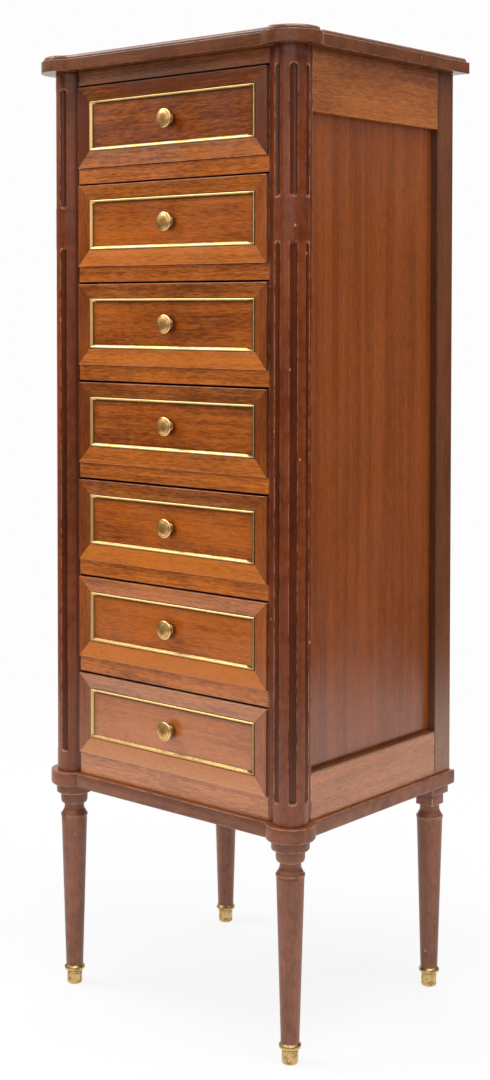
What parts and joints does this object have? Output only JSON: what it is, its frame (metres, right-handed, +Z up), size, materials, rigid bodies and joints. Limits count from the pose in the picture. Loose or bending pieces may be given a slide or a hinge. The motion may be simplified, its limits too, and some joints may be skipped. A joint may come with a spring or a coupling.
{
  "type": "semainier",
  "caption": "Tall, narrow mahogany chest of shallow drawers with fluted corner columns, brass beads and brass knobs, on turned tapering legs with brass shoes.",
  "frame": {"origin": "on the floor under the middle of the outline, which the top board's ears and back edge give", "axes": "+Z up, -Y towards the front, so that the drawers pull out along -Y, and +X to the right as seen from the front"},
  "size_m": [0.462, 0.3792, 1.255],
  "materials": {
    "dark_mahogany": "dark brown mahogany, satin polish, worn paler at the edges",
    "mahogany": "warm orange-brown mahogany with fine dark pores, satin polish",
    "panel_mahogany": "reddish-brown ribbon-striped mahogany veneer, satin polish",
    "leg_mahogany": "greyish brown mahogany, thin worn polish",
    "inner_wood": "plain unpolished secondary wood",
    "bead_brass": "polished brass strip with brown patina along its edges",
    "aged_brass": "aged brass, brown patina in the hollows"
  },
  "bodies": {
    "carcass": {"top_board": "dark_mahogany", "base_board": "leg_mahogany", "back_panel": "inner_wood", "post_front_left": "dark_mahogany", "post_back_left": "dark_mahogany", "side_panel_left": "panel_mahogany", "side_rail_top_left": "mahogany", "side_rail_bottom_left": "mahogany", "runner_frame_left": "inner_wood", "post_front_right": "dark_mahogany", "post_back_right": "dark_mahogany", "side_panel_right": "panel_mahogany", "side_rail_top_right": "mahogany", "side_rail_bottom_right": "mahogany", "runner_frame_right": "inner_wood", "front_rail_bottom": "mahogany", "front_rail_top": "dark_mahogany", "drawer_rail_1": "mahogany", "drawer_rail_2": "mahogany", "drawer_rail_3": "mahogany", "drawer_rail_4": "mahogany", "drawer_rail_5": "mahogany", "drawer_rail_6": "mahogany", "leg_front_left": "leg_mahogany", "shoe_front_left": "aged_brass", "leg_front_right": "leg_mahogany", "shoe_front_right": "aged_brass", "leg_back_left": "leg_mahogany", "shoe_back_left": "aged_brass", "leg_back_right": "leg_mahogany", "shoe_back_right": "aged_brass"},
    "drawer_1": {"drawer_1_front": "mahogany", "drawer_1_box": "inner_wood", "drawer_1_trim": "bead_brass", "drawer_1_knob": "aged_brass"},
    "drawer_2": {"drawer_2_front": "mahogany", "drawer_2_box": "inner_wood", "drawer_2_trim": "bead_brass", "drawer_2_knob": "aged_brass"},
    "drawer_3": {"drawer_3_front": "mahogany", "drawer_3_box": "inner_wood", "drawer_3_trim": "bead_brass", "drawer_3_knob": "aged_brass"},
    "drawer_4": {"drawer_4_front": "mahogany", "drawer_4_box": "inner_wood", "drawer_4_trim": "bead_brass", "drawer_4_knob": "aged_brass"},
    "drawer_5": {"drawer_5_front": "mahogany", "drawer_5_box": "inner_wood", "drawer_5_trim": "bead_brass", "drawer_5_knob": "aged_brass"},
    "drawer_6": {"drawer_6_front": "mahogany", "drawer_6_box": "inner_wood", "drawer_6_trim": "bead_brass", "drawer_6_knob": "aged_brass"},
    "drawer_7": {"drawer_7_front": "mahogany", "drawer_7_box": "inner_wood", "drawer_7_trim": "bead_brass", "drawer_7_knob": "aged_brass"}
  },
  "joints": [
    {"name": "drawer_1_slide", "type": "slide", "parent": "carcass", "child": "drawer_1", "axis": [0, -1, 0], "range_m": [0, 0.22]},
    {"name": "drawer_2_slide", "type": "slide", "parent": "carcass", "child": "drawer_2", "axis": [0, -1, 0], "range_m": [0, 0.22]},
    {"name": "drawer_3_slide", "type": "slide", "parent": "carcass", "child": "drawer_3", "axis": [0, -1, 0], "range_m": [0, 0.22]},
    {"name": "drawer_4_slide", "type": "slide", "parent": "carcass", "child": "drawer_4", "axis": [0, -1, 0], "range_m": [0, 0.22]},
    {"name": "drawer_5_slide", "type": "slide", "parent": "carcass", "child": "drawer_5", "axis": [0, -1, 0], "range_m": [0, 0.22]},
    {"name": "drawer_6_slide", "type": "slide", "parent": "carcass", "child": "drawer_6", "axis": [0, -1, 0], "range_m": [0, 0.22]},
    {"name": "drawer_7_slide", "type": "slide", "parent": "carcass", "child": "drawer_7", "axis": [0, -1, 0], "range_m": [0, 0.22]}
  ]
}
